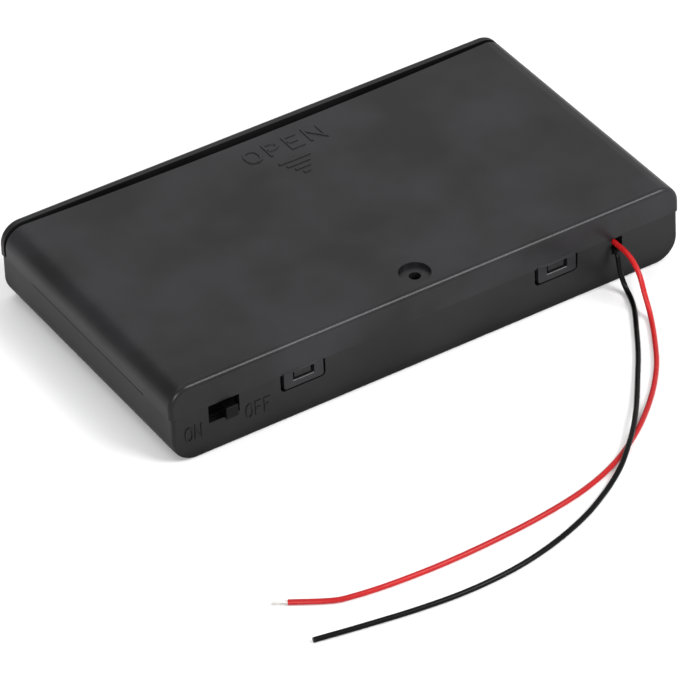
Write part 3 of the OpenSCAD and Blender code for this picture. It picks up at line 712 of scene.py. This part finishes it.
def makeCover():
    s, c, t = coverSize, caseSize, lowerSize
    middle, over = c["length"] / 2, c["height"] + far
    piece = closedForm(0)
    cut(piece, box((-far, -far, -far), (c["length"] + far, c["width"] + far, s["foot"])))
    cut(piece, box((-far, c["openStart"], 0), (c["length"] + far, c["openEnd"], s["sideFoot"])))
    inner = c["topCorner"] - s["wall"]
    hollow = roundedRectangle((s["wall"], -bite), (c["length"] - s["wall"], c["ceiling"]),
                              (0, 0, inner, inner), steps=12)
    cut(piece, prism(hollow, "y", s["wall"], c["width"] + far))
    # the rear edge bows forwards in the middle
    bow = s["rearEnds"] - s["rearMiddle"]
    outline = [(-far, c["width"] + far), (-far, s["rearEnds"])]
    for i in range(s["rearSteps"] + 1):
        x = c["length"] * i / s["rearSteps"]
        outline.append((x, s["rearMiddle"] + bow * ((x - middle) / middle) ** 2))
    outline += [(c["length"] + far, s["rearEnds"]), (c["length"] + far, c["width"] + far)]
    cut(piece, prism(outline, "z", 0, over))
    railTop = s["railFoot"] + s["railHeight"]
    for low, high in ((s["wall"] - bite, s["railReach"]),
                      (c["length"] - s["railReach"], c["length"] - s["wall"] + bite)):
        add(piece, box((low, s["railStart"], s["railFoot"]), (high, s["railEnd"], railTop)))
    for side in (-1, 1):
        x, half, window = middle + side * t["tabOffset"], t["tabHalf"], t["tabWindow"] / 2
        proud, foot, sill = t["tabProud"], t["tabFoot"], t["tabFoot"] + t["tabBar"]
        under = foot - s["tabUnder"]
        profile = [(-proud, under), (s["wall"] - proud, under), (s["wall"], s["shoulder"]),
                   (s["shoulderFace"], s["shoulder"]), (-proud, s["foot"])]
        tab = prism(profile, "x", x - half - bite, x + half + bite)
        face = roundedRectangle((x - half, foot), (x + half, s["shoulder"] + bite),
                                (s["tabCorner"], s["tabCorner"], 0, 0))
        combine(tab, prism(face, "y", -far, far), "INTERSECT")
        opening = roundedRectangle((x - window, sill), (x + window, s["foot"]),
                                   (s["windowCorner"], s["windowCorner"], 0, 0))
        cut(tab, prism(opening, "y", -far, far))
        # the window's sill has a small bevel outside
        lip = s["sillLip"] + bite
        bevel = [(-proud - bite, sill - lip), (-proud + lip, sill + bite), (-proud - bite, sill + bite)]
        cut(tab, prism(bevel, "x", x - window, x + window))
        add(piece, tab)
    holePlace = (middle, t["postY"])
    cut(piece, roundBar(holePlace, s["hole"], "z", c["ceiling"] - bite, over, sides=48))
    cut(piece, roundBar(holePlace, s["recess"], "z", c["height"] - s["recessDepth"], over, sides=96))
    softenEdges(piece, s["edge"], crisp=atFrontSeam)
    finishForm(piece, "slidingCover", coverPlastic, "cover", "cover_plastic", "sliding_cover")
    return piece


slidingCover = makeCover()
print("cover:", len(slidingCover.data.polygons), "faces")


# Raised strokes: sunk a little into the surface, with a crown narrower than the foot
letterSize = {"sink": 0.06, "crown": 0.72, "longestMitre": 2.2}
openSize = {"stroke": 0.8, "rise": 0.22, "foot": 59.0, "top": 64.2,
            "places": [(56.5, 60.7), (62.1, 65.8), (67.3, 71.3), (72.5, 76.9)]}
switchSize = {"stroke": 0.42, "rise": 0.2, "height": 3.9, "onFoot": 4.9, "offFoot": 4.6,
              "onPlaces": [(3.2, 5.3), (5.6, 7.5)],
              "offPlaces": [(18.2, 20.1), (20.5, 22.3), (22.7, 24.5)]}
strokes = {
    "O": [[(0.5, 0), (0.14, 0.1), (0, 0.35), (0, 0.65), (0.14, 0.9), (0.5, 1),
           (0.86, 0.9), (1, 0.65), (1, 0.35), (0.86, 0.1), (0.5, 0)]],
    "N": [[(0, 0), (0, 1), (1, 0), (1, 1)]],
    "F": [[(0, 0), (0, 1), (1, 1)], [(0, 0.52), (0.8, 0.52)]],
    "P": [[(0, 0), (0, 1), (0.7, 1), (0.95, 0.9), (1, 0.75), (0.95, 0.58), (0.7, 0.47), (0, 0.47)]],
    "E": [[(1, 1), (0, 1), (0, 0), (1, 0)], [(0, 0.52), (0.85, 0.52)]],
}


def wideLine(points, half):
    # both borders of a stroke of even width, mitred at its corners
    left, right = [], []
    for i, point in enumerate(points):
        here = Vector(point)
        into = (here - Vector(points[i - 1])).normalized() if i else None
        out = (Vector(points[i + 1]) - here).normalized() if i < len(points) - 1 else None
        into, out = into or out, out or into
        way = (into + out).normalized()
        normal = Vector((-way.y, way.x))
        slant = normal.dot(Vector((-into.y, into.x)))
        reach = half / max(slant, 1 / letterSize["longestMitre"])
        left.append(here + normal * reach)
        right.append(here - normal * reach)
    return left, right


def strokeSolid(points, half, low, high):
    rings = []
    for i in range(len(points)):
        left, right = wideLine(points, half)
        leftTop, rightTop = wideLine(points, half * letterSize["crown"])
        rings.append([(*left[i], low), (*right[i], low), (*rightTop[i], high), (*leftTop[i], high)])
    return loft("stroke", rings)


def word(text, places, foot, top, size):
    # each letter fills the room between two places along the line
    inset = size["stroke"] / 2
    solids = []
    for letter, (start, end) in zip(text, places):
        start, width, height = start + inset, end - start - 2 * inset, top - foot - 2 * inset
        for line in strokes[letter]:
            points = [(start + x * width, foot + inset + y * height) for x, y in line]
            solids.append(strokeSolid(points, inset, -letterSize["sink"], size["rise"]))
    return solids


def makeOpenWord():
    s = openSize
    piece = joined("openWord", word("OPEN", s["places"], s["foot"], s["top"], s))
    piece.data.transform(Matrix.Translation((0, 0, caseSize["height"])))
    finishForm(piece, "openWord", coverPlastic, "cover", "cover_plastic")


def makeSwitchWords():
    s = switchSize
    solids = word("ON", s["onPlaces"], s["onFoot"], s["onFoot"] + s["height"], s)
    solids += word("OFF", s["offPlaces"], s["offFoot"], s["offFoot"] + s["height"], s)
    piece = joined("switchWords", solids)
    piece.data.transform(Matrix.Rotation(math.radians(90), 4, "X"))
    finishForm(piece, "switchWords", casePlastic, "case", "case_plastic")


makeOpenWord()
makeSwitchWords()


# Small helpers for the Geometry Nodes trees
def newTree(name, inputs):
    tree = bpy.data.node_groups.new(name, "GeometryNodeTree")
    tree.interface.new_socket(name="Geometry", in_out="OUTPUT", socket_type="NodeSocketGeometry")
    kinds = {float: "NodeSocketFloat", int: "NodeSocketInt", bpy.types.Material: "NodeSocketMaterial"}
    for label, value in inputs.items():
        kind = kinds[bpy.types.Material if isinstance(value, bpy.types.Material) else type(value)]
        tree.interface.new_socket(name=label, in_out="INPUT", socket_type=kind)
    return tree, tree.nodes.new("NodeGroupInput").outputs, tree.nodes.new("NodeGroupOutput").inputs


def treeNode(tree, kind, links=None, settings=None):
    node = tree.nodes.new(kind)
    for name, value in (settings or {}).items():
        setattr(node, name, value)
    for key, source in (links or {}).items():
        socket = node.inputs[key]
        if isinstance(source, bpy.types.NodeSocket):
            tree.links.new(source, socket)
        else:
            socket.default_value = source
    return node.outputs[0]


def calculate(tree, operation, first, second):
    return treeNode(tree, "ShaderNodeMath", {0: first, 1: second}, {"operation": operation})


def vectorOf(tree, x, y, z):
    return treeNode(tree, "ShaderNodeCombineXYZ", {0: x, 1: y, 2: z})


def grow(name, tree, values):
    # an empty mesh takes the tree, and what grows on it becomes a plain mesh
    holder = pieceFrom(name, [(0, 0, 0)], [])
    modifier = holder.modifiers.new("grow", "NODES")
    modifier.node_group = tree
    for item in tree.interface.items_tree:
        if item.in_out == "INPUT":
            modifier[item.identifier] = values[item.name]
    return settle(holder)


def finishTree(tree, geometry, outputs, material):
    real = treeNode(tree, "GeometryNodeRealizeInstances", {0: geometry})
    painted = treeNode(tree, "GeometryNodeSetMaterial", {"Geometry": real, "Material": material})
    tree.links.new(painted, outputs[0])


# Arrow towards the front: bars that get shorter row by row
arrowSize = {
    "tree": {"Bars": 4, "Middle X": 65.9, "First Y": 55.8, "Row": 1.75, "Longest": 8.0, "Shorter": 2.1,
             "Thick": 0.7, "Rise": 0.22},
    "edge": 0.07,
}


def makeArrow():
    values = {"Top Z": caseSize["height"], "Material": coverPlastic, **arrowSize["tree"]}
    tree, given, result = newTree("arrowBars", values)
    row = treeNode(tree, "GeometryNodeInputIndex")
    start = vectorOf(tree, given["Middle X"], given["First Y"], given["Top Z"])
    line = treeNode(tree, "GeometryNodeMeshLine", {
        "Count": given["Bars"], "Start Location": start,
        "Offset": vectorOf(tree, 0.0, calculate(tree, "MULTIPLY", given["Row"], -1.0), 0.0)})
    bar = treeNode(tree, "GeometryNodeMeshCube", {
        "Size": vectorOf(tree, 1.0, given["Thick"], calculate(tree, "MULTIPLY", given["Rise"], 2.0))})
    shorter = calculate(tree, "MULTIPLY", row, given["Shorter"])
    length = calculate(tree, "SUBTRACT", given["Longest"], shorter)
    bars = treeNode(tree, "GeometryNodeInstanceOnPoints", {
        "Points": line, "Instance": bar, "Scale": vectorOf(tree, length, 1.0, 1.0)})
    finishTree(tree, bars, result, given["Material"])
    piece = grow("openArrow", tree, values)
    softenEdges(piece, arrowSize["edge"])
    finishForm(piece, "openArrow", coverPlastic, "cover", "cover_plastic")


makeArrow()
print("words and arrow ready")


# Springs: one tapered coil with a flat turn at each end, set into every bay, back and front by turns
springSize = {
    "tree": {"Wire": 0.7, "Base": 9.6, "Tip": 5.6, "Length": 7.5, "Turns": 4.0},
    "closing": 0.96, "ending": 0.9,        # turns that lie flat at the plate and at the cell
    "steps": 36, "sides": 10,
}


def makeSprings():
    s, c = springSize, caseSize
    values = {"Bays": c["bays"], "Pitch": c["pitch"], "First X": bayMiddle(1), "Axis Z": c["cellAxis"],
              "Front Y": c["bayFront"] + c["plate"], "Back Y": c["bayBack"] - c["plate"],
              "Material": springSteel, **s["tree"]}
    tree, given, result = newTree("cellSprings", values)
    wireHalf = calculate(tree, "MULTIPLY", given["Wire"], 0.5)
    outer = calculate(tree, "SUBTRACT", calculate(tree, "MULTIPLY", given["Base"], 0.5), wireHalf)
    inner = calculate(tree, "SUBTRACT", calculate(tree, "MULTIPLY", given["Tip"], 0.5), wireHalf)
    rise = calculate(tree, "SUBTRACT", given["Length"], given["Wire"])

    def spiral(turns, start, end, height):
        return treeNode(tree, "GeometryNodeCurveSpiral", {
            "Resolution": s["steps"], "Rotations": turns, "Height": height,
            "Start Radius": start, "End Radius": end})

    coil = spiral(given["Turns"], outer, inner, rise)
    closing = spiral(s["closing"], outer, outer, 0.0)
    ending = treeNode(tree, "GeometryNodeTransform", {
        "Geometry": spiral(s["ending"], inner, inner, 0.0),
        "Translation": vectorOf(tree, 0.0, 0.0, rise)})
    lines = tree.nodes.new("GeometryNodeJoinGeometry")
    for part in (ending, closing, coil):
        tree.links.new(part, lines.inputs[0])
    section = treeNode(tree, "GeometryNodeCurvePrimitiveCircle", {
        "Resolution": s["sides"], "Radius": wireHalf})
    spring = treeNode(tree, "GeometryNodeCurveToMesh", {
        "Curve": lines.outputs[0], "Profile Curve": section, "Fill Caps": True})
    spring = treeNode(tree, "GeometryNodeTransform", {
        "Geometry": spring, "Translation": vectorOf(tree, 0.0, 0.0, wireHalf)})
    spring = treeNode(tree, "GeometryNodeSetShadeSmooth", {"Geometry": spring})
    number = treeNode(tree, "GeometryNodeInputIndex")
    atFront = calculate(tree, "MODULO", number, 2.0)
    place = calculate(tree, "ADD", given["Back Y"], calculate(
        tree, "MULTIPLY", atFront, calculate(tree, "SUBTRACT", given["Front Y"], given["Back Y"])))
    line = treeNode(tree, "GeometryNodeMeshLine", {
        "Count": given["Bays"], "Start Location": vectorOf(tree, given["First X"], 0.0, given["Axis Z"]),
        "Offset": vectorOf(tree, given["Pitch"], 0.0, 0.0)})
    line = treeNode(tree, "GeometryNodeSetPosition", {
        "Geometry": line, "Offset": vectorOf(tree, 0.0, place, 0.0)})
    turn = calculate(tree, "MULTIPLY", calculate(tree, "SUBTRACT", 0.5, atFront), math.pi)
    springs = treeNode(tree, "GeometryNodeInstanceOnPoints", {
        "Points": line, "Instance": spring, "Rotation": vectorOf(tree, turn, 0.0, 0.0)})
    finishTree(tree, springs, result, given["Material"])
    piece = grow("cellSprings", tree, values)
    nodes = [f"cell_spring_{i}" for i in range(1, c["bays"] + 1)]
    finishForm(piece, "cellSprings", springSteel, "case", "spring_steel", *nodes)
    return piece


springs = makeSprings()
print("springs:", len(springs.data.polygons), "faces")


plateSize = {
    "reach": 6.3, "foot": 3.5, "top": 15.2, "corner": 0.8, "edge": 0.06,
    # radius and height of the pressed button, from the plate over a rounded shoulder to a shallow dimple
    "button": [(2.6, -0.1), (2.48, 0.12), (2.22, 0.54), (2.0, 0.68), (1.7, 0.7), (0.9, 0.7),
               (0.6, 0.58)],
    "buttonSides": 40,
}


def bridgePlate(first, last, atBack, button):
    s, c = plateSize, caseSize
    low = c["bayBack"] - c["plate"] if atBack else c["bayFront"]
    outline = roundedRectangle((bayMiddle(first) - s["reach"], s["foot"]),
                               (bayMiddle(last) + s["reach"], s["top"]), (s["corner"],) * 4, steps=5)
    plate = prism(outline, "y", low, low + c["plate"])
    softenEdges(plate, s["edge"], segments=1)
    face, outwards = (low, -1) if atBack else (low + c["plate"], 1)
    place = (bayMiddle(button), c["cellAxis"])
    return [plate, turnedForm(place, "y", face, outwards, s["button"], s["buttonSides"])]


def makeBridges():
    made, half = [], caseSize["bays"] // 2
    for number in range(1, half):
        made += bridgePlate(2 * number, 2 * number + 1, False, 2 * number + 1)
    for number in range(1, half + 1):
        made += bridgePlate(2 * number - 1, 2 * number, True, 2 * number)
    piece = joined("bridgePlates", made)
    nodes = [f"front_bridge_{i}" for i in range(1, half)]
    nodes += [f"back_bridge_{i}" for i in range(1, half + 1)]
    finishForm(piece, "bridgePlates", nickelPlate, "case", "plated_steel", *nodes)


# Forms taken over from CAD nodes: points this close become one, and how far the edges are broken
copySize = {"weld": 0.002, "terminalEdge": 0.07, "housingEdge": 0.1, "knobEdge": 0.16, "smallEdge": 0.05}


def softCopy(name, node, material, body, slot, width):
    # the CAD node's own form with its edges broken, in millimetres while it is worked on
    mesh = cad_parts[node].data.copy()
    mesh.materials.clear()
    piece = bpy.data.objects.new(name, mesh)
    bpy.context.collection.objects.link(piece)
    shift = Matrix.Translation((caseSize["length"] / 2, caseSize["width"] / 2, 0))
    mesh.transform(shift @ Matrix.Scale(1000, 4))
    work = bmesh.new()
    work.from_mesh(mesh)
    bmesh.ops.remove_doubles(work, verts=work.verts, dist=copySize["weld"])
    work.to_mesh(mesh)
    work.free()
    softenEdges(piece, width)
    finishForm(piece, name, material, body, slot, node)


makeBridges()
for name, node in (("positiveTerminal", "positive_terminal"), ("negativeTerminal", "negative_terminal")):
    softCopy(name, node, nickelPlate, "case", "plated_steel", copySize["terminalEdge"])
print("contact plates ready")


small = copySize["smallEdge"]
softCopy("switchHousing", "switch_housing", switchPlastic, "case", "switch_plastic",
         copySize["housingEdge"])
softCopy("switchKnob", "switch_knob", knobPlastic, "knob", "knob_plastic", copySize["knobEdge"])
softCopy("switchBase", "switch_base", terminalBoard, "case", "terminal_board", small)
softCopy("switchContact", "switch_contact", contactBrass, "knob", "contact_brass", small)
for number in (1, 2, 3):
    softCopy(f"switchPin{number}", f"switch_pin_{number}", pinMetal, "case", "pin_metal", small)
print("switch ready")


# Leads inside the case, from the switch's middle pin and the negative terminal's fold to the outlet,
# in millimetres from the case's corner
insideRoutes = {
    "red": [
        (13.0, 8.25, 9.8), (13.0, 8.25, 11.3), (13.6, 8.35, 13.2), (15.6, 8.8, 14.5),
        (21.0, 9.85, 14.8), (33.0, 10.35, 14.8), (65.0, 10.35, 14.8), (100.0, 10.35, 14.8),
        (107.5, 9.65, 14.1), (111.2, 7.85, 12.9), (112.6, 5.4, 11.5), (112.8, 3.0, 10.9),
        (112.8, 1.4, 10.8), (112.8, 0, 10.8),
    ],
    "black": [
        (119.075, 11.4, 10.6), (119.075, 10.4, 10.6), (118.475, 8.4, 10.6), (116.475, 6.2, 10.3),
        (114.3, 4.2, 9.7), (112.9, 2.5, 9.2), (112.65, 1.3, 9.1), (112.6, 0, 9.1),
    ],
}


def insideLead(name, route, material, slot, node):
    corner = Vector((caseSize["length"] / 2, caseSize["width"] / 2, 0))
    points = [(Vector(point) - corner) * 0.001 for point in route]
    piece = wire(name, [smoothLine(points, leadSize["step"])], leadSize["diameter"])
    finishPiece(piece, name, material, "case", slot, node)


insideLead("redLeadInside", insideRoutes["red"], redInsulation, "red_insulation", "red_lead_inside")
insideLead("blackLeadInside", insideRoutes["black"], blackInsulation,
           "black_insulation", "black_lead_inside")
print("inside leads ready")


# Solder where leads and pins end: radius at each distance from the surface the joint stands on
solderSize = {
    "sides": 24,
    "middlePin": {"centre": (13.0, 8.25), "start": 10.3,
                  "profile": [(0.8, -0.1), (0.78, 0.08), (0.7, 0.35), (0.64, 0.8), (0.58, 1.0)]},
    "firstPin": {"centre": (10.0, 9.55), "start": 11.4,
                 "profile": [(1.75, -0.1), (1.7, 0.06), (1.45, 0.25), (1.25, 0.6), (1.1, 0.9)]},
    "blackLead": {"centre": (119.075, 10.6), "start": 11.4,
                  "profile": [(1.45, -0.1), (1.4, 0.06), (1.15, 0.3), (0.8, 0.7), (0.66, 1.2),
                              (0.56, 1.4)]},
}


def makeSolder():
    joints = []
    for place, axis, sign in (("middlePin", "z", 1), ("firstPin", "y", -1), ("blackLead", "y", -1)):
        joint = solderSize[place]
        joints.append(turnedForm(joint["centre"], axis, joint["start"], sign, joint["profile"],
                                 solderSize["sides"]))
    piece = joined("solderJoints", joints)
    finishForm(piece, "solderJoints", tinnedCopper, "case", "tinned_copper")


makeSolder()
print("solder ready")
